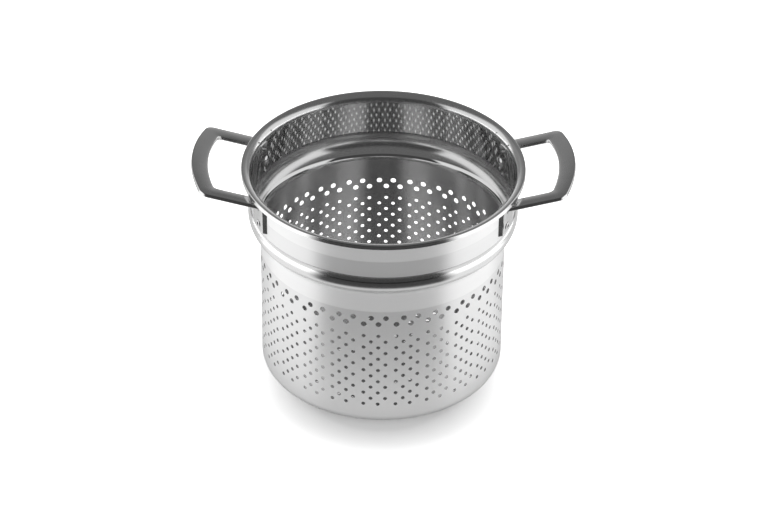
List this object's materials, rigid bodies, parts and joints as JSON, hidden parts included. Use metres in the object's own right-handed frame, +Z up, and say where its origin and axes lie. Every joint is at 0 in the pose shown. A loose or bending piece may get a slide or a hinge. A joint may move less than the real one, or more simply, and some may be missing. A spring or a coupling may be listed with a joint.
{
  "type": "pasta pot strainer insert",
  "caption": "Deep round strainer insert for a pasta pot: perforated steel shell with a shoulder, a wide collar, a flared lip and riveted loop handles on both sides.",
  "frame": {"origin": "centre of the base, on the surface that it stands on", "axes": "+Z up along the shell's axis, +X towards the right handle, +Y towards the rear"},
  "size_m": [0.3466, 0.257, 0.2159],
  "materials": {
    "shell_steel": "drawn stainless steel, satin outside and polished inside and on the lip",
    "handle_steel": "cast stainless steel, polished",
    "rivet_steel": "polished stainless steel"
  },
  "bodies": {
    "root": {"strainer_body": "shell_steel", "handle_right": "handle_steel", "handle_left": "handle_steel", "rivet_right_front": "rivet_steel", "rivet_right_rear": "rivet_steel", "rivet_left_front": "rivet_steel", "rivet_left_rear": "rivet_steel"}
  },
  "joints": []
}
